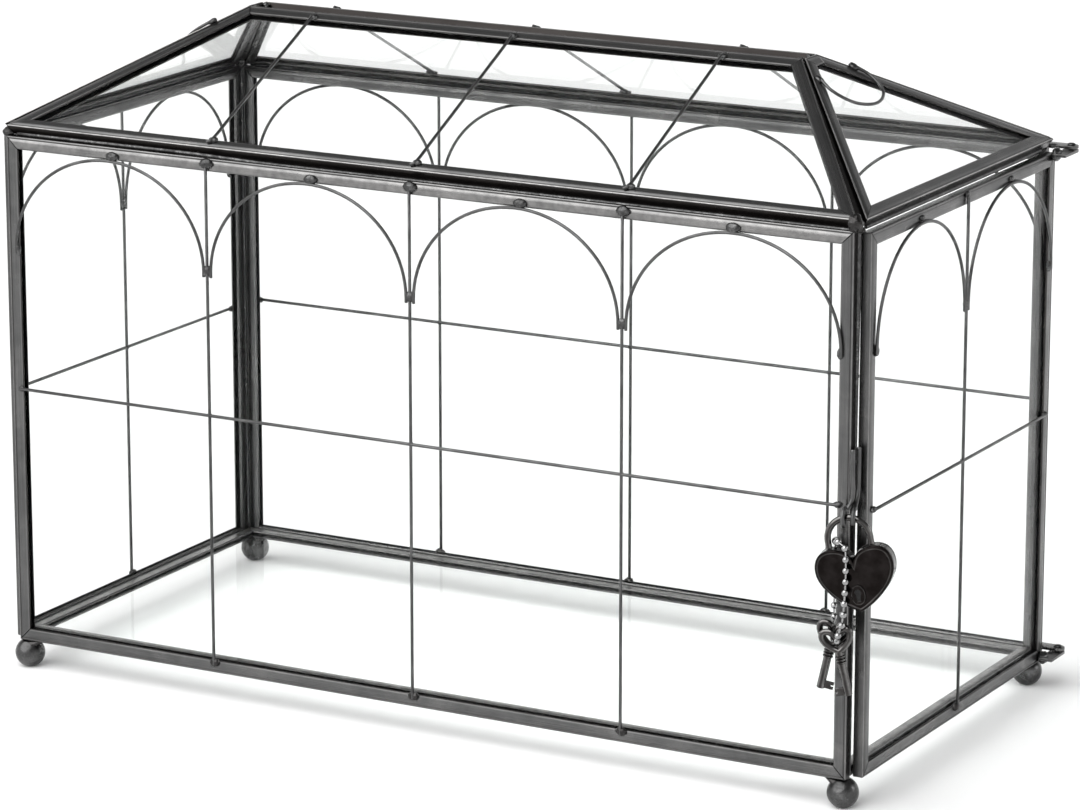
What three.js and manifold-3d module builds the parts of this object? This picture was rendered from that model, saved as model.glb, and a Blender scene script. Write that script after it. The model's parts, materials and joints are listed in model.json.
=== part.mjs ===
// Glass wedding card box: nine glazed channel frames, wire tracery, an end door on two riveted
// hinges, a card slot along the ridge, and a heart padlock with its keys.
// Millimetres, +Z up, +X along the length towards the door, +Y towards the back.

import * as THREE from 'three';
import { mergeVertices } from 'three/addons/utils/BufferGeometryUtils.js';
import Module from 'manifold-3d';

const wasm = await Module();
wasm.setup();

// ---------------------------------------------------------------- driving dimensions

const LENGTH = 330; // outer faces of the two end walls
const DEPTH = 156; // outer faces of the front and back walls
const WALL_HEIGHT = 181.3;
const FOOT_HEIGHT = 10; // floor to the underside of the walls
const GAP = 0.3; // between neighbouring pieces that solder joins
const FIT = 0.15; // half of that gap, kept by each of two neighbours

// The rolled channel that edges every pane, and the pane inside it
const CHANNEL = { width: 4.5, depth: 3.7, spine: 0.8, lip: 0.7 };
const GLASS = { thickness: 2, inset: 1.2 };

// The hipped roof, by the outer edges of its channels
const ROOF = { eaveX: 164.1, eaveY: 77, ridgeX: 107.9, ridgeY: 4.95, rise: 35.34, lift: 3.6 };
const ROOF_CORNER_CUT = { eave: 2.1, ridge: 0.6 }; // how far each frame stops short of the hip

// The door is a little smaller than its opening
const DOOR = { frontEdge: -72.9, height: 180.3 };

// Tracery wire, and the flattened solder beads on it
const WIRE = { radius: 0.55, lift: 0.8, sides: 5 };
const BEAD = { radius: 2.2, halfDepth: 1, lift: 1.25 };
const ARCH = { spring: 142, peak: 176.6, steps: 9, beadRise: 1.2 };
const BAR = { bottom: 3, top: 178.6, bay: 79.4 };
const CROSSBAR = { long: 92, short: 89.3, inset: 3.5 };

const FOOT = { radius: 5.3, flatRadius: 1.76, x: 159, y: 75, sides: 16, steps: 8 };

const HINGE = { x: 168, y: 80.7, lug: 2.5, thickness: 1.1, hole: 1, sides: 16 };
const HINGE_LEVELS = { upper: 179.5, lower: 0.9 }; // the door lug's underside, above the walls' underside
const LUG_REACH = { body: 9, door: 11 }; // from the pin back along the wall or the door
const RIVET = { shank: 0.8, head: 1.5, headHeight: 0.55, clearance: 0.2 };

// Padlock, hanging by its shackle outside the front right corner
const LOCK = { x: 163.5, y: -83.1, z: 82.95, yaw: 14, tilt: 10.5 }; // centre of the shackle's bow
const SHACKLE = { bow: 6.9, wire: 1.08, heel: 14, toe: 8, sides: 10, steps: 12 };
const HEART = { halfWidth: 12.9, height: 21.2, lobe: -2.6, shift: 0.65, thickness: 6, bevel: 0.8 };
const KEYHOLE_PLATE = { radius: 2.4, stretch: 1.4, thickness: 0.8, proud: 0.6, below: 18 };
const HASP = { wire: 0.75, ring: 2.85, spacing: 3.3, top: 111, bend: 95 };
const STAPLE_X = 160.4;
const HOOK = { x: 163.1, y: -75.1 };

const BALL = { radius: 1.08, pitch: 3.67, link: 0.4 };
const KEY = { bow: 5.75, bowHeight: 9.3, bowWire: 1, stem: 1.2, length: 22.8 };
const BIT = { reach: 4, height: 2.4, thickness: 1.2, above: 0.3 }; // from the stem's axis and its tip
const COLLAR = { below: 3.4, height: 1.2, lip: 0.45 }; // the ring on a key's stem, from the neck of its bow

// The origin is the middle of the whole footprint, hinge lugs and padlock included
const BOX_CENTRE = { x: -5.7, y: 3.3 };

const rad = THREE.MathUtils.degToRad;

// ---------------------------------------------------------------- materials

function finish(colour, roughness, metalness) {
  return () => new THREE.MeshStandardMaterial({ color: colour, roughness, metalness });
}

const gunmetal = finish(0x55565a, 0.42, 0.9);
const wireMetal = finish(0x3c3d40, 0.45, 0.9);
const solderMetal = finish(0x4a4a4d, 0.5, 0.85);
const blackNickel = finish(0x1c1a1a, 0.18, 0.95);
const chainMetal = finish(0x8c8c90, 0.25, 1);

function glass() {
  return new THREE.MeshStandardMaterial({
    color: 0xf2f6f5, roughness: 0.05, metalness: 0, transparent: true, opacity: 0.2,
  });
}

function mesh(name, geometry, material) {
  const piece = new THREE.Mesh(geometry, material);
  piece.name = name;
  return piece;
}

// ---------------------------------------------------------------- solids

function signedVolume(geometry) {
  const position = geometry.getAttribute('position');
  const index = geometry.index.array;
  const corner = [new THREE.Vector3(), new THREE.Vector3(), new THREE.Vector3()];
  let sum = 0;
  for (let i = 0; i < index.length; i += 3) {
    corner.forEach((c, k) => c.fromBufferAttribute(position, index[i + k]));
    sum += corner[0].dot(corner[1].cross(corner[2])) / 6;
  }
  return sum;
}

// A closed geometry with shared corners and its faces pointing out
function closed(geometry) {
  const bare = geometry.clone();
  bare.deleteAttribute('normal');
  bare.deleteAttribute('uv');
  const merged = mergeVertices(bare, 1e-4);
  if (signedVolume(merged) < 0) {
    const index = merged.index.array;
    for (let i = 0; i < index.length; i += 3) [index[i], index[i + 1]] = [index[i + 1], index[i]];
  }
  return merged;
}

function solid(geometry) {
  const shape = closed(geometry);
  return new wasm.Manifold(new wasm.Mesh({
    numProp: 3,
    vertProperties: new Float32Array(shape.getAttribute('position').array),
    triVerts: new Uint32Array(shape.index.array),
  }));
}

function geometryOf(manifold) {
  const { vertProperties, triVerts } = manifold.getMesh();
  const geometry = new THREE.BufferGeometry();
  geometry.setAttribute('position', new THREE.BufferAttribute(vertProperties, 3));
  geometry.setIndex(new THREE.BufferAttribute(triVerts, 1));
  geometry.computeVertexNormals();
  return geometry;
}

function union(geometries) {
  return geometryOf(geometries.map(solid).reduce((whole, piece) => whole.add(piece)));
}

function vec(x, y, z = 0) {
  return new THREE.Vector3(x, y, z);
}

function circleShape(radius, sides) {
  const corners = [];
  for (let i = 0; i < sides; i++) {
    const turn = (2 * Math.PI * i) / sides;
    corners.push(new THREE.Vector2(radius * Math.cos(turn), radius * Math.sin(turn)));
  }
  return new THREE.Shape(corners);
}

function slab(shape, thickness, curveSegments = 8) {
  return new THREE.ExtrudeGeometry(shape, { depth: thickness, bevelEnabled: false, curveSegments });
}

// Round wire along a smooth curve through the points
function bentWire(points, radius, sides, steps) {
  return closed(new THREE.ExtrudeGeometry(circleShape(radius, sides), {
    steps, bevelEnabled: false, extrudePath: new THREE.CatmullRomCurve3(points),
  }));
}

function straightWire(from, to, radius, sides) {
  const along = to.clone().sub(from);
  const rod = new THREE.CylinderGeometry(radius, radius, along.length(), sides);
  rod.applyQuaternion(new THREE.Quaternion().setFromUnitVectors(vec(0, 1), along.normalize()));
  const middle = from.clone().add(to).multiplyScalar(0.5);
  return rod.translate(middle.x, middle.y, middle.z);
}

// A lathe profile of [radius, height] pairs, turned to stand along Z
function turned(profile, sides) {
  const points = profile.map(([r, h]) => new THREE.Vector2(r, h));
  return closed(new THREE.LatheGeometry(points, sides).rotateX(Math.PI / 2));
}

// A straight tracery wire on a panel's outer face
function tracingWire(fromX, fromY, toX, toY) {
  return straightWire(vec(fromX, fromY, WIRE.lift), vec(toX, toY, WIRE.lift), WIRE.radius, WIRE.sides);
}

function bead(x, y) {
  const ball = new THREE.SphereGeometry(BEAD.radius, 7, 4);
  return ball.scale(1, 1, BEAD.halfDepth / BEAD.radius).translate(x, y, BEAD.lift);
}

// ---------------------------------------------------------------- glazed panels
// A panel is drawn flat: X across it, Y up it, Z out of its outer face, which lies at Z = 0.

// The polygon moved inwards by a distance, for corners in counterclockwise order
function inset(corners, distance) {
  return corners.map((corner, i) => {
    const before = corners[(i + corners.length - 1) % corners.length];
    const after = corners[(i + 1) % corners.length];
    const inward = [corner.clone().sub(before), after.clone().sub(corner)]
      .map((edge) => new THREE.Vector2(-edge.y, edge.x).normalize());
    const bisector = inward[0].clone().add(inward[1]);
    const reach = distance / (bisector.lengthSq() / 2);
    return corner.clone().addScaledVector(bisector, reach);
  });
}

function plate(corners, thickness, outerFace) {
  return slab(new THREE.Shape(corners), thickness).translate(0, 0, outerFace - thickness);
}

// A mitred U-channel ring that holds the pane in its groove
function channelFrame(outline, cuts) {
  const { width, depth, spine, lip } = CHANNEL;
  const opening = plate(inset(outline, width), depth + 2, 1);
  const groove = plate(inset(outline, spine), depth - 2 * lip, -lip);
  const ring = solid(plate(outline, depth, 0)).subtract(solid(opening)).subtract(solid(groove));
  return cuts.reduce((frame, cut) => frame.subtract(solid(cut)), ring);
}

function glazed(name, outline, cuts = []) {
  const paneFace = -(CHANNEL.depth - GLASS.thickness) / 2;
  const pane = plate(inset(outline, GLASS.inset), GLASS.thickness, paneFace);
  return [
    mesh(`${name}_frame`, geometryOf(channelFrame(outline, cuts)), gunmetal()),
    mesh(`${name}_glass`, closed(pane), glass()),
  ];
}

function rectangle(left, right, height) {
  return [[left, 0], [right, 0], [right, height], [left, height]].map((c) => new THREE.Vector2(...c));
}

// Everything beyond a plane through a point, as one large block
function beyond(point, normal) {
  const reach = 400;
  const block = new THREE.BoxGeometry(reach, reach, reach).translate(reach / 2, 0, 0);
  block.applyQuaternion(new THREE.Quaternion().setFromUnitVectors(vec(1, 0), normal));
  return block.translate(point.x, point.y, point.z);
}

// Stands a panel up: lean is its angle from level, distance its lower edge's distance from the
// middle of the box, and yaw turns it from the front wall round to its own side.
function stand(pieces, { yaw, distance, base, lean }) {
  const panel = new THREE.Group();
  panel.add(...pieces);
  panel.position.set(0, -distance, base);
  panel.rotation.x = lean;
  const side = new THREE.Group();
  side.add(panel);
  side.rotation.z = yaw;
  return side;
}

const YAW = { front: 0, right: Math.PI / 2, back: Math.PI, left: -Math.PI / 2 };

// ---------------------------------------------------------------- wire tracery

// Half an ellipse of wire between two bays' edges, with a bead where it meets the top rail
function archWire(left, right) {
  const centre = (left + right) / 2;
  const half = (right - left) / 2;
  const points = [];
  for (let i = 0; i <= ARCH.steps; i++) {
    const turn = Math.PI * (1 - i / ARCH.steps);
    const height = (ARCH.peak - ARCH.spring) * Math.sin(turn);
    points.push(vec(centre + half * Math.cos(turn), ARCH.spring + height, WIRE.lift));
  }
  const wire = bentWire(points, WIRE.radius, WIRE.sides, 2 * ARCH.steps);
  return union([wire, bead(centre, ARCH.peak + ARCH.beadRise)]);
}

// Upright bars soldered across one level bar
function gridWire(bars, left, right, level) {
  const uprights = bars.flatMap((x) => [tracingWire(x, BAR.bottom, x, BAR.top), bead(x, BAR.top)]);
  return union([tracingWire(left, level, right, level), ...uprights]);
}

// The grid and the arches of one wall: bars between bays, an arch in each bay
function tracery(name, bars, left, right, level) {
  const ends = [left + CROSSBAR.inset, right - CROSSBAR.inset];
  const edges = [ends[0], ...bars, ends[1]];
  const clear = 2 * WIRE.radius + GAP;
  const arches = edges.slice(1).map((edge, i) => mesh(
    `${name}_arch_${i + 1}`,
    archWire(edges[i] + (i ? clear : 0), edge - (i < bars.length ? clear : 0)),
    wireMetal(),
  ));
  return [mesh(`${name}_grid`, gridWire(bars, ...ends, level), wireMetal()), ...arches];
}

// ---------------------------------------------------------------- walls and floor

function longWall(name, yaw) {
  const half = LENGTH / 2 - CHANNEL.depth - FIT;
  const bars = [-BAR.bay, 0, BAR.bay];
  const pieces = [
    ...glazed(name, rectangle(-half, half, WALL_HEIGHT)),
    ...tracery(name, bars, -half, half, CROSSBAR.long),
  ];
  return stand(pieces, { yaw, distance: DEPTH / 2, base: FOOT_HEIGHT, lean: Math.PI / 2 });
}

function endWall(name, yaw, left, height) {
  const half = DEPTH / 2 - CHANNEL.depth - FIT;
  const pieces = [
    ...glazed(name, rectangle(left, half, height)),
    ...tracery(name, [0], left, half, CROSSBAR.short),
  ];
  return stand(pieces, { yaw, distance: LENGTH / 2, base: FOOT_HEIGHT, lean: Math.PI / 2 });
}

function floorPanel() {
  const halfX = LENGTH / 2 - CHANNEL.depth - GAP;
  const halfY = DEPTH / 2 - CHANNEL.depth - GAP;
  const pieces = glazed('floor', rectangle(-halfX, halfX, 2 * halfY));
  return stand(pieces, { yaw: 0, distance: -halfY, base: FOOT_HEIGHT + GAP, lean: Math.PI });
}

// ---------------------------------------------------------------- roof

const SLOPE = { run: ROOF.eaveY - ROOF.ridgeY, eave: ROOF.eaveX, ridge: ROOF.ridgeX };
const FACET = { run: ROOF.eaveX - ROOF.ridgeX, eave: ROOF.eaveY, ridge: ROOF.ridgeY };

function roofLean(panel) {
  return Math.atan2(ROOF.rise, panel.run);
}

function roofHeight(panel) {
  return Math.hypot(ROOF.rise, panel.run);
}

// Half the angle between the outward normals of a slope and an end facet
function halfHipAngle() {
  const front = vec(0, -Math.sin(roofLean(SLOPE)), Math.cos(roofLean(SLOPE)));
  const end = vec(Math.sin(roofLean(FACET)), 0, Math.cos(roofLean(FACET)));
  return front.angleTo(end) / 2;
}

// The blocks that trim a roof frame back from the planes through its two hips
function hipCuts(panel) {
  const height = roofHeight(panel);
  const half = halfHipAngle();
  return [-1, 1].map((side) => {
    const foot = vec(side * panel.eave, 0);
    const along = vec(side * panel.ridge, height).sub(foot).normalize();
    const outward = vec(side * along.y, -side * along.x);
    const normal = outward.multiplyScalar(Math.cos(half)).add(vec(0, 0, -Math.sin(half)));
    return beyond(foot.addScaledVector(normal, -FIT), normal);
  });
}

function roofPanel(name, yaw, panel, distance, wires) {
  const height = roofHeight(panel);
  const eave = panel.eave - ROOF_CORNER_CUT.eave;
  const ridge = panel.ridge - ROOF_CORNER_CUT.ridge;
  const corners = [[-eave, 0], [eave, 0], [ridge, height], [-ridge, height]];
  const outline = corners.map((corner) => new THREE.Vector2(...corner));
  return stand([...glazed(name, outline, hipCuts(panel)), ...wires], {
    yaw, distance, base: FOOT_HEIGHT + WALL_HEIGHT + ROOF.lift, lean: roofLean(panel),
  });
}

// Straight wires from the ridge rail down to the eave rail
function slopeBars(name) {
  const low = CHANNEL.width / 2;
  const high = roofHeight(SLOPE) - CHANNEL.width / 2;
  return [-BAR.bay, 0, BAR.bay].map((x, i) => (
    mesh(`${name}_bar_${i + 1}`, closed(tracingWire(x, low, x, high)), wireMetal())
  ));
}

// A wire loop that hangs between the hips near the top of an end facet
function facetLoop(name) {
  const points = [[-13.2, 56], [-15.2, 50], [-11.5, 42.6], [0, 39], [11.5, 42.6], [15.2, 50], [13.2, 56]];
  const lean = 1.4; // the loop is set a little off centre
  const path = points.map(([x, y]) => vec(x + lean, y, WIRE.lift));
  return [mesh(`${name}_loop`, bentWire(path, WIRE.radius, WIRE.sides, 30), wireMetal())];
}

function roof() {
  const group = new THREE.Group();
  group.add(
    roofPanel('roof_front', YAW.front, SLOPE, ROOF.eaveY, slopeBars('roof_front')),
    roofPanel('roof_back', YAW.back, SLOPE, ROOF.eaveY, slopeBars('roof_back')),
    roofPanel('roof_left', YAW.left, FACET, ROOF.eaveX, facetLoop('roof_left')),
    roofPanel('roof_right', YAW.right, FACET, ROOF.eaveX, facetLoop('roof_right')),
  );
  return group;
}

// ---------------------------------------------------------------- feet

// A ball foot with a small flat to stand on, stopped just under the frames' corner
function foot(name, x, y) {
  const { radius, flatRadius, sides, steps } = FOOT;
  const centre = Math.sqrt(radius ** 2 - flatRadius ** 2);
  const top = FOOT_HEIGHT - GAP;
  const low = Math.asin(-centre / radius);
  const high = Math.asin((top - centre) / radius);
  const profile = [[0, 0]];
  for (let i = 0; i <= steps; i++) {
    const rise = low + ((high - low) * i) / steps;
    profile.push([radius * Math.cos(rise), i === 0 ? 0 : centre + radius * Math.sin(rise)]);
  }
  profile.push([0, top]);
  const ball = mesh(name, turned(profile, sides), solderMetal());
  ball.position.set(x, y, 0);
  return ball;
}

function feet() {
  const group = new THREE.Group();
  for (const [end, x] of [['left', -FOOT.x], ['right', FOOT.x]]) {
    for (const [face, y] of [['front', -FOOT.y], ['back', FOOT.y]]) {
      group.add(foot(`foot_${face}_${end}`, x, y));
    }
  }
  return group;
}

// ---------------------------------------------------------------- door hinges

// A flat lug with a round end and a hole for the rivet, drawn with the hole at the origin
function lugGeometry(reach) {
  const shape = new THREE.Shape();
  shape.moveTo(-reach, -HINGE.lug);
  shape.lineTo(0, -HINGE.lug);
  shape.absarc(0, 0, HINGE.lug, -Math.PI / 2, Math.PI / 2);
  shape.lineTo(-reach, HINGE.lug);
  shape.closePath();
  shape.holes.push(new THREE.Path(circleShape(HINGE.hole, HINGE.sides).getPoints()));
  return closed(slab(shape, HINGE.thickness));
}

function rivetGeometry(gripLength) {
  const { shank, head, headHeight, clearance } = RIVET;
  const profile = [
    [0, -clearance - headHeight], [head * 0.6, -clearance - headHeight], [head, -clearance],
    [shank, -clearance], [shank, gripLength + clearance], [head, gripLength + clearance],
    [head * 0.6, gripLength + clearance + headHeight], [0, gripLength + clearance + headHeight],
  ];
  return turned(profile, HINGE.sides);
}

function hinge(name, level) {
  const group = new THREE.Group();
  const bodyLug = mesh(`${name}_body_lug`, lugGeometry(LUG_REACH.body), gunmetal());
  bodyLug.position.z = HINGE.thickness + GAP;
  const doorLug = mesh(`${name}_door_lug`, lugGeometry(LUG_REACH.door), gunmetal());
  doorLug.rotation.z = Math.PI / 2;
  const pin = mesh(`${name}_hinge_pin`, rivetGeometry(2 * HINGE.thickness + GAP), solderMetal());
  group.add(bodyLug, doorLug, pin);
  group.position.set(HINGE.x, HINGE.y, FOOT_HEIGHT + level);
  return group;
}

// ---------------------------------------------------------------- hasp wires

const lockDirection = vec(Math.cos(rad(LOCK.yaw)), Math.sin(rad(LOCK.yaw)));
const outward = vec(Math.sin(rad(LOCK.yaw)), -Math.cos(rad(LOCK.yaw)));
const shackleTop = vec(LOCK.x, LOCK.y, FOOT_HEIGHT + LOCK.z + SHACKLE.bow);

// A point on the circle of wire round the shackle, by its angle up from the outward side
function roundShackle(side, angle) {
  return shackleTop.clone()
    .addScaledVector(lockDirection, (side * HASP.spacing) / 2)
    .addScaledVector(outward, HASP.ring * Math.cos(rad(angle)))
    .add(vec(0, 0, HASP.ring * Math.sin(rad(angle))));
}

// The front post's staple: a wire soldered down the post that ends in a closed eye
function frontStaple() {
  const y = -DEPTH / 2 - HASP.wire - GAP;
  const leg = [
    vec(STAPLE_X, y, FOOT_HEIGHT + HASP.top),
    vec(STAPLE_X, y, FOOT_HEIGHT + HASP.bend + 8),
    vec(STAPLE_X, y, FOOT_HEIGHT + HASP.bend),
  ];
  const circle = [];
  for (let angle = 160; angle >= -200; angle -= 30) circle.push(roundShackle(-1, angle));
  const eye = bentWire(circle, HASP.wire, 6, 22);
  const shank = bentWire([...leg, roundShackle(-1, 160)], HASP.wire, 6, 10);
  return mesh('front_staple', union([shank, eye]), wireMetal());
}

// The door's hook: it reaches over the shackle and down in front of it, and leaves with the door
function doorHook() {
  const points = [
    vec(HOOK.x, HOOK.y, FOOT_HEIGHT + HASP.top),
    vec(HOOK.x, HOOK.y, FOOT_HEIGHT + HASP.bend + 8),
    vec(HOOK.x, HOOK.y - 0.3, FOOT_HEIGHT + HASP.bend + 1),
    vec(HOOK.x + 0.7, HOOK.y - 3.2, FOOT_HEIGHT + HASP.bend - 1.8),
  ];
  for (const angle of [105, 70, 35, 0, -35]) points.push(roundShackle(1, angle));
  return mesh('door_hook', bentWire(points, HASP.wire, 6, 26), wireMetal());
}

// ---------------------------------------------------------------- padlock
// Drawn upright about the centre of the shackle's bow, X across it and Y towards the back.

function shackleGeometry() {
  const { bow, wire, heel, toe, sides, steps } = SHACKLE;
  const points = [vec(-bow, 0, -heel), vec(-bow, 0, -heel / 2), vec(-bow, 0, -1)];
  for (let i = 0; i <= steps; i++) {
    const turn = Math.PI * (1 - i / steps);
    points.push(vec(bow * Math.cos(turn), 0, bow * Math.sin(turn)));
  }
  points.push(vec(bow, 0, -1), vec(bow, 0, -toe));
  return bentWire(points, wire, sides, 32);
}

// A heart with its point down; lobe is the height of its two lobes, from the origin
function heartShape(halfWidth, height, lobe) {
  const tip = lobe - height;
  const waist = lobe - 0.31 * height;
  const cleft = lobe - 0.2 * height;
  const shape = new THREE.Shape();
  shape.moveTo(0, tip);
  const flank = lobe - 0.62 * height;
  const shoulder = lobe - 0.1 * height;
  const fold = lobe - 0.08 * height;
  const crown = 0.54 * halfWidth;
  shape.bezierCurveTo(0.3 * halfWidth, tip + 0.07 * height, halfWidth, flank, halfWidth, waist);
  shape.bezierCurveTo(halfWidth, shoulder, 0.8 * halfWidth, lobe, crown, lobe);
  shape.bezierCurveTo(0.28 * halfWidth, lobe, 0.06 * halfWidth, fold, 0, cleft);
  shape.bezierCurveTo(-0.06 * halfWidth, fold, -0.28 * halfWidth, lobe, -crown, lobe);
  shape.bezierCurveTo(-0.8 * halfWidth, lobe, -halfWidth, shoulder, -halfWidth, waist);
  shape.bezierCurveTo(-halfWidth, flank, -0.3 * halfWidth, tip + 0.07 * height, 0, tip);
  return shape;
}

// The drawing plane stood up, with the extrusion running from front to back about Y = 0
function upright(geometry, thickness) {
  return geometry.translate(0, 0, -thickness / 2).rotateX(Math.PI / 2);
}

function lockGeometry() {
  const { halfWidth, height, lobe, shift, thickness, bevel } = HEART;
  const face = heartShape(halfWidth - bevel, height - 2 * bevel, lobe - bevel);
  const heart = new THREE.ExtrudeGeometry(face, {
    depth: thickness - 2 * bevel,
    bevelThickness: bevel,
    bevelSize: bevel,
    bevelSegments: 1,
    curveSegments: 6,
  }).translate(shift, 0, bevel);
  const { radius, stretch, thickness: plateThickness, proud, below } = KEYHOLE_PLATE;
  const keyhole = new THREE.CylinderGeometry(radius, radius, plateThickness, 16)
    .scale(1, 1, stretch)
    .translate(shift, plateThickness / 2 - thickness / 2 - proud, -below);
  const legs = [[-SHACKLE.bow, SHACKLE.heel], [SHACKLE.bow, SHACKLE.toe]];
  const body = solid(upright(heart, thickness)).add(solid(keyhole));
  return geometryOf(legs.reduce((whole, [x, depth]) => {
    const hole = straightWire(vec(x, 0, -depth - 1), vec(x, 0, 4), SHACKLE.wire + GAP, SHACKLE.sides);
    return whole.subtract(solid(hole));
  }, body));
}

// ---------------------------------------------------------------- keys and their ball chain
// Placed from the same point as the padlock, but hanging plumb.

// Over the heart, down its front, through both keys and up its back
const CHAIN_PATH = [
  [-4.4, 0.3, -1], [-2.8, -3.2, -0.6], [-0.5, -4.8, -1.7], [0, -5.2, -4.8], [0.1, -5.2, -12.2],
  [-0.2, -5.2, -19.7], [-0.8, -5.3, -26.5], [-1.6, -5.3, -29.5], [-2.6, -4.9, -32.6], [-2.9, -2.6, -33.4],
  [-3.7, -1.3, -33.3], [-4.6, 0, -32.4], [-5, 2.3, -31.4], [-5.1, 3.5, -28.2], [-5.3, 4.4, -22],
  [-5.6, 4.6, -14], [-5.5, 4.6, -7], [-5.2, 4.4, -3.4], [-4.9, 3, -1.6], [-4.4, 0.3, -1],
].map((p) => vec(...p));

function chainGeometry() {
  const route = new THREE.CatmullRomCurve3(CHAIN_PATH);
  const count = Math.round(route.getLength() / BALL.pitch);
  const balls = [];
  for (let i = 0; i < count; i++) {
    const centre = route.getPointAt(i / count);
    balls.push(new THREE.SphereGeometry(BALL.radius, 7, 4).translate(centre.x, centre.y, centre.z));
  }
  return union([bentWire(CHAIN_PATH, BALL.link, 4, 3 * count), ...balls]);
}

// A skeleton key drawn from the point where the chain bears on its bow, hanging down
function keyGeometry(bitSide) {
  const { bow, bowHeight, bowWire, stem, length } = KEY;
  const outer = heartShape(bow, bowHeight, 2 * bowWire);
  const inner = heartShape(bow - 2 * bowWire, bowHeight - 4.6 * bowWire, 0);
  const flat = (shape) => upright(slab(shape, 2 * bowWire, 5), 2 * bowWire);
  const tip = 2 * bowWire - length;
  const neck = 2 * bowWire - bowHeight + 1.2;
  const ring = solid(flat(outer)).subtract(solid(upright(slab(inner, 4, 5), 4)));
  const shank = straightWire(vec(0, 0, tip), vec(0, 0, neck), stem, 10);
  const collarFoot = neck - COLLAR.below;
  const collarTop = collarFoot + COLLAR.height;
  const collar = straightWire(vec(0, 0, collarFoot), vec(0, 0, collarTop), stem + COLLAR.lip, 10);
  const tooth = new THREE.BoxGeometry(BIT.reach - 0.4, BIT.thickness, BIT.height)
    .translate((bitSide * (BIT.reach + 0.4)) / 2, 0, tip + BIT.above + BIT.height / 2);
  return geometryOf([shank, collar, tooth].reduce((whole, piece) => whole.add(solid(piece)), ring));
}

function key(name, [x, y, z], swing, bitSide) {
  const piece = mesh(name, keyGeometry(bitSide), blackNickel());
  piece.position.set(x, y, z);
  piece.rotation.y = rad(swing);
  return piece;
}

function padlock() {
  const hanging = new THREE.Group();
  const tilted = new THREE.Group();
  tilted.add(mesh('padlock_shackle', shackleGeometry(), blackNickel()));
  tilted.add(mesh('padlock_body', lockGeometry(), blackNickel()));
  tilted.rotation.y = -rad(LOCK.tilt);
  hanging.add(tilted);
  hanging.add(mesh('key_chain', chainGeometry(), chainMetal()));
  hanging.add(key('key_1', [-3.45, -2.6, -30.9], -13, -1));
  hanging.add(key('key_2', [-4.2, 0, -29.8], 12, 1));
  hanging.rotation.z = rad(LOCK.yaw);
  hanging.position.set(LOCK.x, LOCK.y, FOOT_HEIGHT + LOCK.z);
  return hanging;
}

// ---------------------------------------------------------------- the whole box

const cardBox = new THREE.Group();
cardBox.add(
  longWall('front', YAW.front),
  longWall('back', YAW.back),
  endWall('left', YAW.left, -(DEPTH / 2 - CHANNEL.depth - FIT), WALL_HEIGHT),
  endWall('door', YAW.right, DOOR.frontEdge, DOOR.height),
  floorPanel(),
  roof(),
  feet(),
  hinge('upper', HINGE_LEVELS.upper),
  hinge('lower', HINGE_LEVELS.lower),
  frontStaple(),
  doorHook(),
  padlock(),
);
cardBox.position.set(BOX_CENTRE.x, BOX_CENTRE.y, 0);

export default cardBox;
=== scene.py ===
"""The looks of a glass wedding card box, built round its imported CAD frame.

Sizes are in millimetres in the row frame, and become metres as each piece is made.
"""

import json
import math
from itertools import accumulate

import bmesh
import bpy
from mathutils import Matrix, Vector, noise


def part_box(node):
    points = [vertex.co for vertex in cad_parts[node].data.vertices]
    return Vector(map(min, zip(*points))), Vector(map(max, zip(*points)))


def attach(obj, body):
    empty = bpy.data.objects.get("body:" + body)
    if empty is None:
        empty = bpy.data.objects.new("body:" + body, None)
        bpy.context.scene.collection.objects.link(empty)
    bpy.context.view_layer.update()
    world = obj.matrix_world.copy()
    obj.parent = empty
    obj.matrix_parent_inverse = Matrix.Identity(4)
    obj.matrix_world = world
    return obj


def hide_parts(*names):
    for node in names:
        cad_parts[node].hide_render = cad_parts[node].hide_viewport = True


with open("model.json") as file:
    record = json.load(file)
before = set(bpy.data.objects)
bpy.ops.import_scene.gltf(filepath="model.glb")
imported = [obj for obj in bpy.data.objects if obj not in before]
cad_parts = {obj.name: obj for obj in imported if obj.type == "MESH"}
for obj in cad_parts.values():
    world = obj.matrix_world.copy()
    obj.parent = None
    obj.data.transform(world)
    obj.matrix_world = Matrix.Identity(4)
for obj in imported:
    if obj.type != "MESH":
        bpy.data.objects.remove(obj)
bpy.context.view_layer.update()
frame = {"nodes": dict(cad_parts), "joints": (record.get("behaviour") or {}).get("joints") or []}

MM = 0.001
AXES = (Vector((1, 0, 0)), Vector((0, 1, 0)), Vector((0, 0, 1)))
UP = AXES[2]

# The rolled channel round each pane, as in the CAD model
CHANNEL_WIDTH = 4.5
CHANNEL_DEPTH = 3.7
CHANNEL_SPINE = 0.8
CHANNEL_LIP = 0.7
CHANNEL_ROLL = 0.42         # radius of its two rolled outer edges
CHANNEL_CREASE = 0.16       # depth of the crease pressed beside each rolled edge
PANE_INSET = 1.2            # from the channel's outer edge to the pane's
MITRE_GAP = 0.14
MITRE_CHAMFER = 0.16
MITRE_WEAR = -0.7

# Tracery wire, soldered on the channels' outer faces
WIRE_RADIUS = 0.55
WIRE_LIFT = 0.8             # its middle line above those faces
BAR_FOOT = 3                # the bars' lower ends, above the walls' underside
ARCH_BEAD_RISE = 3.4        # top of an arch's bead above the arch's crown
ARCH_BEAD_SHIFTS = {"front": (1.9, 1.4, 1.8, -0.3)}  # where its beads miss the arches' middles
RAIL_BEAD_SIZES = {"door": 0.6, "left": 0.85}        # of the beads along the top rails, where not 1
LEVELS = {"front": 92, "back": 92, "left": 89.3, "door": 89.3}   # of the level bars
ARCH_COUNTS = {"front": 4, "back": 4, "left": 2, "door": 2}

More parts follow.
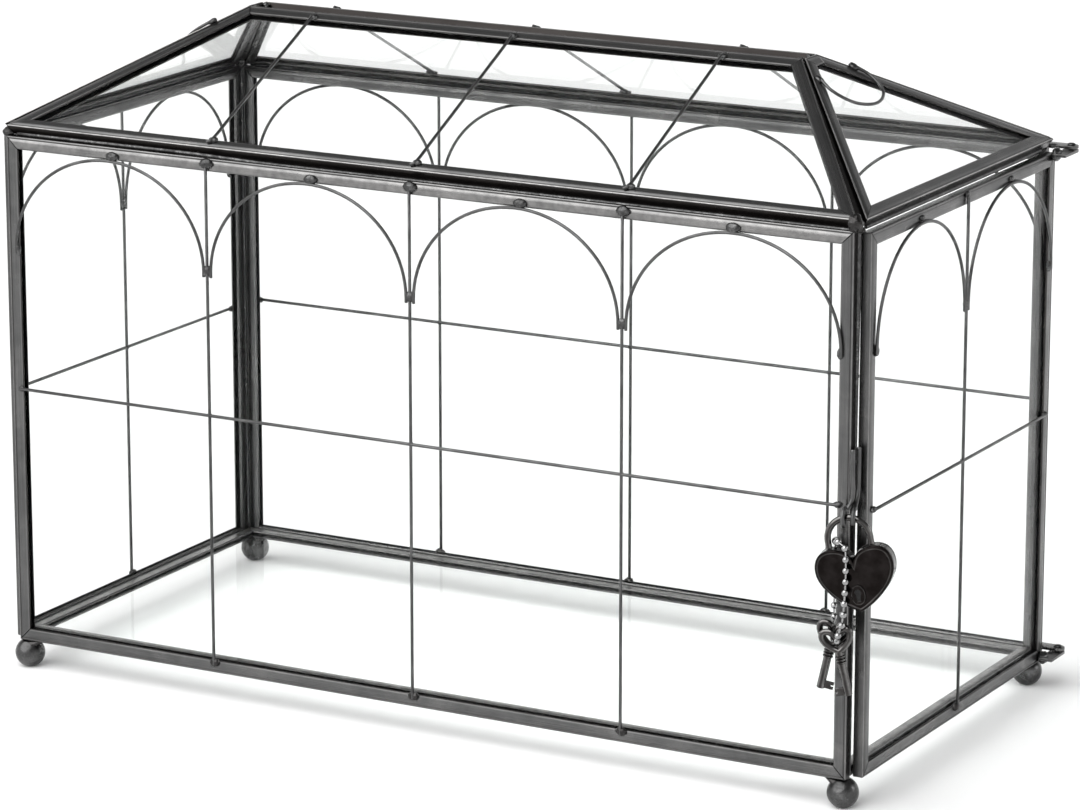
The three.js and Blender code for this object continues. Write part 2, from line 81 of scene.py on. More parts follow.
# Half sizes of the solder on the wires: across the panel, up it and out of it
BEADS = {
    "arch_crown": (2.6, 1.8, 1.4), "arch_end": (0.95, 1.9, 0.95), "arches_meet": (1.75, 2.0, 0.95),
    "bar_head": (2.6, 1.9, 1.5), "bar_foot": (2.0, 1.6, 1.1), "crossing": (0.95, 0.85, 0.75),
    "level_end": (1.5, 1.1, 0.95), "roof_bar_foot": (1.7, 1.3, 1.0), "roof_bar_head": (1.6, 1.3, 1.0),
    "loop_end": (1.5, 1.9, 1.1),
}
SEAM_RADIUS = {"corner": 0.95, "eave": 0.85, "door_eave": 0.72}

# The solder between a foot and the rail above it, by height above the foot's top:
# its half sizes along and across the rail, and how far it reaches along it from the foot
FOOT_WEB = [
    (0.8, 4.2, 1.6, 2.4), (0.25, 4.5, 2.0, 2.5), (-0.25, 4.3, 2.6, 2.1), (-0.8, 3.9, 3.1, 1.5),
    (-1.4, 3.7, 3.5, 0.9), (-2.1, 3.7, 3.7, 0.3), (-2.8, 3.4, 3.4, 0.1), (-3.4, 2, 2, 0),
]

# How each panel's channel is coloured: how dark its spines are made, as patina and painted shade; how far
# its rolled edges are lightened, as rubbed metal and painted highlight, and its faces, as rubbed metal;
# and how dark its lips are made, as painted shadow between pane and channel. The front's top rail has
# painted sheen.
# wear is 1 for bare metal and painted highlight, 0 for even patina, -1 for the thickest patina and
# painted shade.
# The colour that negative values darken towards: the thickest patina, and painted shade
DARK_PATINA_AND_SHADE = (0.016, 0.0135, 0.0125)
FINISHES = {
    "roof": (0.92, 2.4, 0, 0.6), "front": (0.8, 1, 0, 0.8), "back": (0.35, 0.5, 0, 0),
    "left": (0.15, 0.7, 0, 0), "door": (0.15, 1, 0, 0.8), "floor": (0, 1, 1.5, 0.3),
}
# Painted sheen that makes the front's top rail lighter than its other rails
TOP_RAIL_SHEEN = 0.75
HIP_HIGHLIGHT = 9               # painted highlight on the rolled edges along the end facets' hips

HINGE_LUG = {"half_width": 2.5, "thickness": 1.1, "body_reach": 9, "door_reach": 11}

# The padlock, about the centre of its shackle's bow
SHACKLE_BOW = 6.9
SHACKLE_WIRE = 1.08
SHACKLE_HEEL = 14
SHACKLE_TOE = 8
HEART = {"half_width": 12.9, "height": 21.2, "lobe": -2.6}
HEART_SHIFT = 0.65          # its middle, to the right of the shackle's
HEART_THICKNESS = 6
KEYHOLE_BELOW = 18

# The ball chain, by points on its closed way round from the same centre
BALL_RADIUS = 1.16
BALL_PITCH = 3.67
LINK_RADIUS = 0.32
CHAIN_PATH = [
    (-4.4, 0.3, -1), (-2.8, -3.2, -0.6), (-0.5, -4.8, -1.7), (0, -5.2, -4.8), (0.1, -5.2, -12.2),
    (-0.2, -5.2, -19.7), (-0.8, -5.3, -26.5), (-1.6, -5.3, -29.5), (-2.6, -4.9, -32.6),
    (-2.9, -2.6, -33.4), (-3.7, -1.3, -33.3), (-4.6, 0, -32.4), (-5, 2.3, -31.4), (-5.1, 3.5, -28.2),
    (-5.3, 4.4, -22), (-5.6, 4.6, -14), (-5.5, 4.6, -7), (-5.2, 4.4, -3.4), (-4.9, 3, -1.6),
]

KEY_BOW = {"half_width": 5.75, "height": 9.3, "lobe": 2}
KEY_BOW_WIRE = 1.0
KEY_STEM = 1.32             # its radius
KEY_LENGTH = 22.8
KEY_BIT = {"reach": 4, "height": 2.4, "above": 0.3}


# ---- shader nodes

def grey(value, warmth=0.0):
    return (value * (1 + warmth), value, value * (1 - warmth))


def set_stops(ramp, stops):
    elements = ramp.color_ramp.elements
    while len(elements) < len(stops):
        elements.new(0.5)
    for element, (position, colour) in zip(elements, stops):
        element.position = position
        element.color = (*colour, 1)


class Shader:
    """A material's nodes, with short names for the few kinds that are used here."""

    def __init__(self, name, **settings):
        self.material = bpy.data.materials.new(name)
        self.material.use_nodes = True
        self.tree = self.material.node_tree
        self.surface = self.tree.nodes["Principled BSDF"]
        for socket, value in settings.items():
            self.surface.inputs[socket.replace("_", " ")].default_value = value

    def node(self, kind, inputs=None, **settings):
        """A new node with its settings, and its inputs at the given values or linked to sockets."""
        made = self.tree.nodes.new(f"ShaderNode{kind}")
        for key, value in settings.items():
            setattr(made, key, value)
        for key, value in (inputs or {}).items():
            if isinstance(value, bpy.types.NodeSocket):
                self.tree.links.new(value, made.inputs[key])
            else:
                made.inputs[key].default_value = value
        return made

    def noise(self, scale, detail=4, roughness=0.55, distortion=0.0):
        """Noise by place, or along and around the metal where the scale has three factors."""
        if isinstance(scale, tuple):
            source = self.node("Attribute", attribute_name="grain").outputs["Vector"]
        else:
            source = self.node("TexCoord").outputs["Object"]
            scale = (scale, scale, scale)
        vector = self.node("Mapping", {"Scale": scale, "Vector": source}).outputs["Vector"]
        settings = {"Scale": 1, "Detail": detail, "Roughness": roughness, "Distortion": distortion}
        return self.node("TexNoise", {"Vector": vector, **settings}).outputs["Fac"]

    def blend(self, first, second, share):
        inputs = {"Factor": share, "A": first, "B": second}
        return self.node("Mix", inputs, data_type="FLOAT").outputs["Result"]

    def spread(self, value, low, high, from_low=0.3, from_high=0.7):
        return self.node("MapRange", {
            "Value": value, "From Min": from_low, "From Max": from_high, "To Min": low, "To Max": high,
        }).outputs["Result"]

    def colours(self, value, *stops):
        ramp = self.node("ValToRGB", {"Fac": value})
        set_stops(ramp, stops)
        return ramp.outputs["Color"]

    def towards(self, colours, target, amount):
        inputs = {"Factor": amount, "A": colours, "B": (*target, 1)}
        return self.node("Mix", inputs, data_type="RGBA").outputs["Result"]

    def worn_and_lit(self, colours, bare, share):
        """Lightens the colour where wear is above 0 (rubbed metal, painted highlight), darkens it below 0
        (thick patina, painted shade).
        """
        wear = self.node("Attribute", attribute_name="wear").outputs["Fac"]
        scuffs = self.spread(self.noise(380, detail=3), 0.35 * share, share)
        lightening = self.node("Math", {0: wear, 1: scuffs}, operation="MULTIPLY")
        lightened = self.towards(colours, bare, lightening.outputs["Value"])
        darkening = self.node("Math", {0: wear, 1: -1}, operation="MULTIPLY")
        return self.towards(lightened, DARK_PATINA_AND_SHADE, darkening.outputs["Value"])

    def bump(self, height, strength, distance):
        inputs = {"Height": height, "Strength": strength, "Distance": distance}
        self.set("Normal", self.node("Bump", inputs).outputs["Normal"])

    def set(self, socket, output):
        self.tree.links.new(output, self.surface.inputs[socket])


# ---- materials

def metal(name, first, second, colours, bare, gloss, relief):
    """A metal under patina or plating, from two noise patterns.

    colours, gloss and relief start with the second pattern's share, before the colour's stops, the
    roughness's range, or the bump's strength and distance. bare is the colour under the
    film, which also serves for painted highlights, and how far a full wear value shows it.
    """
    shader = Shader(name, Metallic=1.0)
    patterns = [shader.noise(**first), shader.noise(**second)]

    def mixed(share):
        return shader.blend(*patterns, share) if 0 < share < 1 else patterns[share]

    film = shader.colours(mixed(colours[0]), *colours[1:])
    shader.set("Base Color", shader.worn_and_lit(film, *bare))
    shader.set("Roughness", shader.spread(mixed(gloss[0]), *gloss[1:]))
    shader.bump(mixed(relief[0]), *relief[1:])
    return shader.material


def chain_metal():
    """The chain's brighter plating, which has one even film."""
    shader = Shader("bright_gunmetal", Metallic=1.0)
    film = shader.noise(600, detail=3)
    plate = shader.colours(film, (0.35, grey(0.24)), (0.65, grey(0.38)))
    shader.set("Base Color", shader.worn_and_lit(plate, grey(0.7), 0.5))
    shader.set("Roughness", shader.spread(film, 0.2, 0.1))
    shader.bump(film, 0.1, 0.00004)
    return shader.material


def keyway_shadow():
    """The unlit inside of the keyhole."""
    shader = Shader("keyway_shadow")
    dust = shader.noise(2500, detail=2)
    shader.set("Base Color", shader.colours(dust, (0.3, grey(0.002)), (0.7, grey(0.006))))
    shader.set("Roughness", shader.spread(dust, 0.7, 0.95))
    return shader.material


def pane_glass():
    """Clear float glass with a faint film and few reflections, which lamps shine straight through."""
    shader = Shader("float_glass", Transmission_Weight=1.0, IOR=1.1)
    film = shader.noise(14, detail=5, roughness=0.6, distortion=0.6)
    tint = shader.colours(film, (0.3, (0.985, 0.996, 0.99)), (0.7, (0.997, 1.0, 0.998)))
    shader.set("Base Color", tint)
    shader.set("Roughness", shader.spread(film, 0.0, 0.008, 0.45, 0.75))
    clear = shader.node("BsdfTransparent", {"Color": (0.985, 0.993, 0.99, 1)})
    for_lamps = shader.node("LightPath").outputs["Is Shadow Ray"]
    ways = {0: for_lamps, 1: shader.surface.outputs["BSDF"], 2: clear.outputs["BSDF"]}
    mixed = shader.node("MixShader", ways).outputs["Shader"]
    shader.tree.links.new(mixed, shader.tree.nodes["Material Output"].inputs["Surface"])
    return shader.material


# Rolled channel under a gunmetal patina: fine streaks along each rail, and cloudy patches
CHANNEL = metal(
    "gunmetal_channel",
    {"scale": (0.03, 3.1, 1), "detail": 6, "roughness": 0.7}, {"scale": 60, "distortion": 0.5},
    (0.45, (0.3, grey(0.062)), (0.5, grey(0.115)), (0.72, grey(0.2, 0.02))),
    bare=(grey(0.5, 0.02), 0.42), gloss=(0.45, 0.38, 0.2), relief=(0.25, 0.4, 0.00012))

# Drawn wire, with fine lines along it
WIRE = metal(
    "gunmetal_wire",
    {"scale": (0.12, 3, 1)}, {"scale": 160, "detail": 3},
    (0.5, (0.32, grey(0.045)), (0.68, grey(0.14))),
    bare=(grey(0.3), 0.6), gloss=(0.5, 0.42, 0.25), relief=(0.5, 0.3, 0.00008))

# Solder under the same patina: duller, a little pitted and uneven
SOLDER = metal(
    "patinated_solder",
    {"scale": 420, "roughness": 0.6}, {"scale": 1900, "detail": 2},
    (0.35, (0.32, grey(0.03)), (0.52, grey(0.075)), (0.7, grey(0.17))),
    bare=(grey(0.3), 0.6), gloss=(0.35, 0.44, 0.2), relief=(0.35, 0.5, 0.00025))

# The turned feet and rivets: smoother than solder, with clouds of darker patina
BALL = metal(
    "gunmetal_ball",
    {"scale": 170, "detail": 5, "distortion": 0.3}, {"scale": 1500, "detail": 2},
    (0.25, (0.32, grey(0.04)), (0.55, grey(0.085)), (0.7, grey(0.16))),
    bare=(grey(0.4), 0.6), gloss=(0.25, 0.36, 0.2), relief=(0.25, 0.3, 0.0001))

# The heart's glossy plating: a faint film, with hairline scuffs
NICKEL = metal(
    "black_nickel",
    {"scale": 240, "detail": 3}, {"scale": 1600, "detail": 5, "distortion": 0.8},
    (0, (0.35, (0.009, 0.0075, 0.007)), (0.65, (0.018, 0.0155, 0.015))),
    bare=(grey(0.12, 0.03), 0.8), gloss=(0.5, 0.04, 0.13, 0.35, 0.7), relief=(1, 0.05, 0.00003))

# The same plating on the shackle and the keys, brighter, with painted highlight lines along them
POLISHED = metal(
    "polished_nickel",
    {"scale": 300, "detail": 3}, {"scale": 1400, "detail": 5, "distortion": 0.8},
    (0, (0.35, (0.022, 0.02, 0.0195)), (0.65, (0.05, 0.047, 0.046))),
    bare=(grey(0.17, 0.02), 0.8), gloss=(0.5, 0.06, 0.15, 0.35, 0.7), relief=(1, 0.08, 0.00004))

CHAIN = chain_metal()
SHADOW = keyway_shadow()
GLASS = pane_glass()


# ---- meshes

class Skin:
    """The corners and faces of one piece, with each corner's place on the metal's grain and its wear:
    wear and patina, painted highlight and painted shade.
    """

    def __init__(self):
        self.points = []
        self.faces = []
        self.grain = []
        self.wear = []
        self.runs = 0

    def ring(self, points, along=0.0, wear=0.0):
        """Adds the points as one ring, with the grain around it and one wear value, or one for each
        point.
        """
        first = len(self.points)
        around = 0.0
        for i, point in enumerate(points):
            if i:
                around += (point - points[i - 1]).length
            self.points.append(Vector(point))
            self.grain.append((along, around, 5.3 * self.runs))
            self.wear.append(wear[i] if isinstance(wear, list) else wear)
        return list(range(first, len(self.points)))

    def loft(self, rings, caps=True, closed=False):
        """Joins the rings in order, and closes the first and last one with a face."""
        joined = rings + rings[:1] if closed else rings
        for before, after in zip(joined, joined[1:]):
            for i in range(len(before)):
                k = (i + 1) % len(before)
                self.faces.append((before[i], before[k], after[k], after[i]))
        if caps and not closed:
            self.faces.append(tuple(rings[0]))
            self.faces.append(tuple(rings[-1]))
        self.runs += 1


def placed(name, data):
    made = bpy.data.objects.new(name, data)
    bpy.context.scene.collection.objects.link(made)
    return made


def piece(name, skin, body, material, replaces=(), sharp=38):
    """One finished piece on a CAD body, smooth except across edges sharper than the angle."""
    mesh = bpy.data.meshes.new(name)
    mesh.from_pydata([point * MM for point in skin.points], [], skin.faces)
    grain = mesh.attributes.new("grain", "FLOAT_VECTOR", "POINT")
    grain.data.foreach_set("vector", [c for place in skin.grain for c in place])
    mesh.attributes.new("wear", "FLOAT", "POINT").data.foreach_set("value", skin.wear)
    faces = bmesh.new()
    faces.from_mesh(mesh)
    bmesh.ops.recalc_face_normals(faces, faces=faces.faces)
    faces.to_mesh(mesh)
    faces.free()
    mesh.shade_smooth()
    mesh.set_sharp_from_angle(angle=math.radians(sharp))
    mesh.materials.append(material)
    made = placed(name, mesh)
    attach(made, body)
    if replaces:
        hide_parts(*replaces)


def node_box(node):
    """Lowest and highest corner of a CAD node, in millimetres."""
    return [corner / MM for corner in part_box(node)]


def circle(count):
    """Angles at even steps round a circle."""
    return [2 * math.pi * k / count for k in range(count)]


def between(a, b, start, end, t):
    return (a * (end - t) + b * (t - start)) / (end - start)


def smooth_curve(points, count, closed=False):
    """Points at even steps along a centripetal Catmull-Rom curve."""
    points = [Vector(p) for p in points]
    if closed:
        ends = [points[-1]] + points + points[:2]
    else:
        ends = [2 * points[0] - points[1]] + points + [2 * points[-1] - points[-2]]
    dense = []
    steps = 24
    for a, b, c, d in zip(ends, ends[1:], ends[2:], ends[3:]):
        gaps = [max(step.length, 1e-6) ** 0.5 for step in (b - a, c - b, d - c)]
        t0, t1, t2, t3 = accumulate(gaps, initial=0.0)
        for i in range(steps):
            t = t1 + (t2 - t1) * i / steps
            p, q, r = between(a, b, t0, t1, t), between(b, c, t1, t2, t), between(c, d, t2, t3, t)
            u, v = between(p, q, t0, t2, t), between(q, r, t1, t3, t)
            dense.append(between(u, v, t1, t2, t))
    dense.append(points[0] if closed else points[-1])
    lengths = list(accumulate(((b - a).length for a, b in zip(dense, dense[1:])), initial=0.0))
    even, k = [], 0
    for i in range(count + (0 if closed else 1)):
        wanted = lengths[-1] * i / count
        while k < len(dense) - 2 and lengths[k + 1] < wanted:
            k += 1
        share = (wanted - lengths[k]) / max(lengths[k + 1] - lengths[k], 1e-9)
        even.append(dense[k].lerp(dense[k + 1], share))
    return even


def wire(skin, path, radius, sides=12, closed=False, lightened=None):
    """Round wire along the points, with its cut ends rounded over.

    lightened is the direction of its outward side, along which highlight lines are painted, if given.
    """
    count = len(path)
    tangents = []
    for i in range(count):
        before = path[i - 1] if closed or i else path[0]
        after = path[(i + 1) % count] if closed or i < count - 1 else path[-1]
        tangents.append((after - before).normalized())
    side = lightened or tangents[0].orthogonal()
    turns = circle(sides)
    wear = [painted_highlight_at(t) if lightened else 0.0 for t in turns]
    rings, along = [], 0.0

    def section(centre, tangent, reach):
        across = tangent.cross(side)
        return [centre + reach * (math.cos(t) * side + math.sin(t) * across) for t in turns]

    for i, (centre, tangent) in enumerate(zip(path, tangents)):
        side = (side - side.dot(tangent) * tangent).normalized()
        along += (centre - path[i - 1]).length if i else 0.0
        end = not closed and i in (0, count - 1)
        shoulder = 0.35 * radius if end else 0.0
        inward = tangent if i == 0 else -tangent
        if end and i == 0:
            rings.append(skin.ring(section(centre, tangent, 0.72 * radius), along, 1.0))
        rings.append(skin.ring(section(centre + shoulder * inward, tangent, radius), along, wear))
        if end and i:
            rings.append(skin.ring(section(centre, tangent, 0.72 * radius), along, 1.0))
    skin.loft(rings, closed=closed)


def painted_highlight_at(turn):
    """How much painted highlight round metal gets, by the angle from its outward side: most a little to
    each side.
    """
    away = abs((turn + math.pi) % (2 * math.pi) - math.pi)
    return max(0.0, math.cos(2 * (away - 0.75))) ** 3 * 1.6


def straight(skin, start, end, radius):
    wire(skin, [start, start.lerp(end, 0.5), end], radius)


def blob(skin, centre, axes, halves, unevenness=0.14, rows=9, columns=14, wear=0.0):
    """A lump about a point, by its half sizes along three axes."""
    rings = []
    for row in range(1, rows):
        rise = math.pi * (row / rows - 0.5)
        points = []
        for turn in circle(columns):
            level = math.cos(rise)
            way = Vector((level * math.cos(turn), level * math.sin(turn), math.sin(rise)))
            swell = 1 + unevenness * noise.noise(1.7 * way + 0.31 * centre)
            reach = sum((w * h * a for w, h, a in zip(way, halves, axes)), Vector())
            points.append(centre + swell * reach)
        rings.append(skin.ring(points, row, wear))
    skin.loft(rings)


def turned(skin, base, axis, profile, segments=24, lightened=None):
    """A lathe form: (radius, height) pairs about an axis from a base point, with painted highlight lines
    as a wire has.
    """
    side = lightened or axis.orthogonal().normalized()
    turns = circle(segments)
    wear = [painted_highlight_at(t) if lightened else 0.0 for t in turns]
    across = axis.cross(side)
    spokes = [math.cos(t) * side + math.sin(t) * across for t in turns]
    rings = []
    for radius, height in profile:
        rings.append(skin.ring([base + height * axis + radius * spoke for spoke in spokes], height, wear))
    skin.loft(rings)


def moved_corner(outline, i, before, after):
    """Corner i of a flat outline, with the edge before it and the edge after it moved in."""
    corner = outline[i]
    last = (corner - outline[i - 1]).normalized()
    following = (outline[(i + 1) % len(outline)] - corner).normalized()
    a, b = Vector((-last.y, last.x)), Vector((-following.y, following.x))
    turn = a.x * b.y - a.y * b.x
    if abs(turn) < 1e-4:
        return corner + before * a
    return corner + Vector(((before * b.y - after * a.y) / turn, (after * a.x - before * b.x) / turn))


def inset(outline, distance):
    return [moved_corner(outline, i, distance, distance) for i in range(len(outline))]


def plate(skin, outline, place, steps):
    """A flat form lofted through (inset, height, wear) steps, put in space by place(x, y, height)."""
    rings = []
    for distance, height, wear in steps:
        points = [place(p.x, p.y, height) for p in inset(outline, distance)]
        rings.append(skin.ring(points, height, wear))
    skin.loft(rings)


# ---- glazed panels

class Panel:
    """A glazed panel as its pane gives it: across it, up it, and out of its channel's outer face."""

    def __init__(self, name):
        corners = []
        for vertex in frame["nodes"][f"{name}_glass"].data.vertices:
            point = vertex.co / MM
            if all((point - c).length > 0.01 for c in corners):
                corners.append(point)
        middle = sum(corners, Vector()) / len(corners)
        thin = [(corners[0] - c).length for c in corners[1:]]
        twin = corners[1 + thin.index(min(thin))]
        self.name = name
        self.out = (corners[0] - twin).normalized()
        if self.out.dot(middle - BOX_MIDDLE) < 0:
            self.out = -self.out
        across = UP.cross(self.out)
        self.across = across.normalized() if across.length > 0.1 else Vector((1, 0, 0))
        self.up = self.out.cross(self.across)
        self.origin = middle + self.out * CHANNEL_DEPTH / 2
        rim = [self.flat(c) for c in corners if (c - middle).dot(self.out) > 0]
        rim = [Vector((c.x, c.y)) for c in rim]
        rim.sort(key=lambda c: math.atan2(c.y, c.x))
        self.outline = inset(rim, -PANE_INSET)

    def at(self, across, up, out=0.0):
        return self.origin + across * self.across + up * self.up + out * self.out

    def flat(self, point):
        step = point - self.origin
        return Vector((step.dot(self.across), step.dot(self.up), step.dot(self.out)))

    def span(self, node):
        """Left, right, bottom and top of a CAD node, seen on this panel."""
        spots = [self.flat(vertex.co / MM) for vertex in frame["nodes"][node].data.vertices]
        return [pick(spot[axis] for spot in spots) for axis in (0, 1) for pick in (min, max)]

    def bead(self, solder, across, up, out, kind, unevenness=0.14, size=1, **how):
        """Solder of one of the BEADS' kinds on this panel's wires."""
        halves = [size * half for half in BEADS[kind]]
        axes = (self.across, self.up, self.out)
        blob(solder, self.at(across, up, out), axes, halves, unevenness, **how)


def channel_section(spine_patina_and_shade, edge_rub_and_highlight, face_rub_and_sheen, lip_painted_shade):
    """The channel's section, from its inner lip round the outside to the other lip, then its groove.

    Each step is (distance in from the outer edge, height above the outer face, outside or not, wear).
    spine_patina_and_shade says how dark the spine is made, as patina and painted shade, and
    lip_painted_shade how dark the lips are made, as painted shadow between pane and channel.
    edge_rub_and_highlight says how far the rolled edges are lightened, as rubbed metal and painted
    highlight, and face_rub_and_sheen how far the faces are, as rubbed metal and, on the front's top rail,
    painted sheen. The crease beside each rolled edge is darkened as painted shade.
    """
    roll, width, crease = CHANNEL_ROLL, CHANNEL_WIDTH, CHANNEL_CREASE
    face = [
        # The inner lip, darkened as painted shadow between pane and channel, then a line lightened as
        # painted highlight
        (width, -CHANNEL_LIP, False, -lip_painted_shade), (width, -0.4, True, -lip_painted_shade),
        (width - 0.22, -0.08, True, -lip_painted_shade / 2), (width - 0.4, -0.02, True, 0.5),
        # The face, lightened as rubbed metal, and on the front's top rail as painted sheen
        (width - 0.8, 0, True, face_rub_and_sheen), (2.4, 0, True, face_rub_and_sheen), (roll + 0.62, -0.02, True, face_rub_and_sheen),
        # The crease beside the rolled edge, darkened as painted shade
        (roll + 0.38, -crease, True, -0.7), (roll + 0.18, -0.04, True, -0.4),
    ]
    # The rolled edge, lightened as rubbed metal and painted highlight, its spine side darkened as patina
    # and painted shade
    for k, wear in enumerate((0, 0.25 * edge_rub_and_highlight, edge_rub_and_highlight, 0, -spine_patina_and_shade)):
        turn = math.radians(90 + 22.5 * k)
        height = -0.02 - roll + roll * math.sin(turn)
        face.append((roll + roll * math.cos(turn), height, True, wear))
    under = [(inward, -CHANNEL_DEPTH - height, *rest) for inward, height, *rest in reversed(face)]
    # The spine, darkened as patina and painted shade
    spine = [(0.06, -CHANNEL_DEPTH / 2, True, -spine_patina_and_shade)]
    heights = (CHANNEL_LIP - CHANNEL_DEPTH, -CHANNEL_LIP)
    groove = [(CHANNEL_SPINE, height, False, 0) for height in heights]
    return face + spine + under + groove


def rail(skin, panel, i, leans, finish):
    """One mitred length of channel, along edge i, with a small chamfer at each mitre.

    A lean slants its outer edge back, as a hip needs. The finish is what channel_section takes.
    """
    outline = panel.outline
    count = len(outline)
    direction = (outline[(i + 1) % count] - outline[i]).normalized()

    def drawn_in(edge, inward, height):
        return inward - leans[edge % count] * height * (1 - inward / CHANNEL_WIDTH)

    def ends(inward, height):
        edges = [drawn_in(i + step, inward, height) for step in (-1, 0, 1)]
        return (moved_corner(outline, i, edges[0], edges[1]),
                moved_corner(outline, (i + 1) % count, edges[1], edges[2]))

    section = channel_section(*finish)
    middle = -CHANNEL_DEPTH / 2
    full, chamfered = [], []
    for inward, height, outside, _ in section:
        pull = MITRE_CHAMFER if outside else 0
        drop = math.copysign(min(pull, abs(height - middle)), middle - height)
        full.append((inward, height))
        chamfered.append((max(inward, pull), height + drop))
    worn_and_lit = [wear for *_, wear in section]
    dark = [MITRE_WEAR] * len(section)
    length = (outline[(i + 1) % count] - outline[i]).length
    rings = []
    for end, form, step, wear in ((0, chamfered, 0, dark), (0, full, MITRE_CHAMFER, worn_and_lit),
                                  (1, full, MITRE_CHAMFER, worn_and_lit), (1, chamfered, 0, dark)):
        shift = (MITRE_GAP / 2 + step) * (-1 if end else 1)
        points = []
        for inward, height in form:
            spot = ends(inward, height)[end] + direction * shift
            points.append(panel.at(spot.x, spot.y, height))
        rings.append(skin.ring(points, length * end, wear))
    skin.loft(rings)


def glazed(name, body, hip_lean=0.0):
    """The panel's channel frame and its pane. Edges that climb are hips."""
    panel = Panel(name)
    count = len(panel.outline)
    edges = [panel.outline[(i + 1) % count] - panel.outline[i] for i in range(count)]
    leans = [hip_lean if abs(edge.y) > 1 else 0.0 for edge in edges]
    spine_patina_and_shade, edge_rub_and_highlight, face_rub_and_sheen, lip_painted_shade = FINISHES[name.split("_")[0]]
    skin = Skin()
    for i, edge in enumerate(edges):
        level = abs(edge.y) < 1
        # The front's top rail gets the painted sheen
        brighter = name == "front" and level and panel.outline[i].y > 0
        # The end facets' hip rails get the painted highlight on their rolled edges
        on_hip = name in ("roof_left", "roof_right") and not level
        rail(skin, panel, i, leans,
             (spine_patina_and_shade, HIP_HIGHLIGHT if on_hip else edge_rub_and_highlight, TOP_RAIL_SHEEN if brighter else face_rub_and_sheen, lip_painted_shade))
    piece(f"{name}_channel", skin, body, CHANNEL, [f"{name}_frame"])
    pane = frame["nodes"][f"{name}_glass"]
    pane.data.materials.clear()
    pane.data.materials.append(GLASS)
    return panel


# ---- wire tracery

def tracery(panel, body):
    """The bars, the level bar and the arches of one wall, and the solder that holds them."""
    name = panel.name
    nodes = [f"{name}_arch_{i + 1}" for i in range(ARCH_COUNTS[name])]
    spans = sorted((*panel.span(node), node) for node in nodes)
    grid_left, grid_right, foot, _ = panel.span(f"{name}_grid")
    spring = spans[0][2]
    crown = spans[0][3] - ARCH_BEAD_RISE
    top = panel.span(f"{name}_grid")[3] - 2.2
    level = foot - BAR_FOOT + LEVELS[name]
    solder = Skin()

    shifts = ARCH_BEAD_SHIFTS.get(name, (0,) * len(spans))
    size = RAIL_BEAD_SIZES.get(name, 1)
    for (left, right, _, _, node), shift in zip(spans, shifts):
        skin = Skin()
        middle, half = (left + right) / 2, (right - left) / 2 - WIRE_RADIUS
        turns = [math.pi * (1 - k / 44) for k in range(45)]
        path = [panel.at(middle + half * math.cos(t), spring + (crown - spring) * math.sin(t), WIRE_LIFT)
                for t in turns]
        feet = [path[0] - 1.6 * panel.up, path[-1] - 1.6 * panel.up]
        wire(skin, [feet[0]] + path + [feet[1]], WIRE_RADIUS)
        piece(f"{node}_wire", skin, body, WIRE, [node])
        panel.bead(solder, middle + shift, crown + 1.5, 0.3, "arch_crown", size=size)

    bars = [(one[1] + other[0]) / 2 for one, other in zip(spans, spans[1:])]
    grid = Skin()
    for bar in bars:
        straight(grid, panel.at(bar, foot, WIRE_LIFT), panel.at(bar, top, WIRE_LIFT), WIRE_RADIUS)
        panel.bead(solder, bar, top + 0.9, 0.3, "bar_head", size=size)
        panel.bead(solder, bar, spring + 0.6, 0.7, "arches_meet", 0.2)
        panel.bead(solder, bar, foot + 0.9, 0.25, "bar_foot", 0.25, wear=-0.6)
        panel.bead(solder, bar, level, 0.6, "crossing", 0.2, rows=7, columns=10)
    ends = [panel.at(end, level, WIRE_LIFT) for end in (grid_left, grid_right)]
    straight(grid, *ends, WIRE_RADIUS)
    piece(f"{name}_grid_wire", grid, body, WIRE, [f"{name}_grid"])

    for end, way in ((grid_left, 1), (grid_right, -1)):
        panel.bead(solder, end + 0.5 * way, level, 0.35, "level_end", 0.2)
        panel.bead(solder, end + 0.6 * way, spring - 0.4, 0.35, "arch_end", 0.2)
    piece(f"{name}_solder", solder, body, SOLDER)


# ---- roof

def roof_bars(panel):
    """Wires from the ridge rail to the eave rail, each with its ends turned over and soldered."""
    solder = Skin()
    for i in range(3):
        node = f"{panel.name}_bar_{i + 1}"
        left, right, low, high = panel.span(node)
        bar = (left + right) / 2
        path = [(bar - 1.5, low - 0.4), (bar - 0.35, low + 0.3), (bar, low + 2)]
        path += [(bar, low + 2 + (high - low - 4) * k / 6) for k in range(1, 7)]
        path += [(bar + 0.3, high - 0.4), (bar + 1.2, high + 0.2)]
        skin = Skin()
        wire(skin, smooth_curve([panel.at(x, y, WIRE_LIFT) for x, y in path], 60), WIRE_RADIUS)
        piece(f"{node}_wire", skin, "case", WIRE, [node])
        panel.bead(solder, bar + 0.3, low + 1.5, 0.35, "roof_bar_foot", 0.22)
        panel.bead(solder, bar, high - 1.4, 0.35, "roof_bar_head", 0.22)
    piece(f"{panel.name}_solder", solder, "case", SOLDER)


def facet_loop(panel):
    """The wire loop that hangs between the hips near the top of an end facet."""
    node = f"{panel.name}_loop"
    left, right, low, high = panel.span(node)
    middle, half = (left + right) / 2, (right - left) / 2 - WIRE_RADIUS
    low += WIRE_RADIUS
    right_side = [(0.757, 0.212), (1, 0.647), (0.868, 1)]
    outline = [(-x, y) for x, y in reversed(right_side)] + [(0, 0)] + right_side
    spots = [(middle + half * x, low + (high - low) * y) for x, y in outline]
    skin = Skin()
    wire(skin, smooth_curve([panel.at(*spot, WIRE_LIFT) for spot in spots], 56), WIRE_RADIUS)
    piece(f"{node}_wire", skin, "case", WIRE, [node])
    solder = Skin()
    for spot in (spots[0], spots[-1]):
        panel.bead(solder, *spot, WIRE_LIFT - 0.5, "loop_end", 0.22)
    piece(f"{panel.name}_solder", solder, "case", SOLDER)


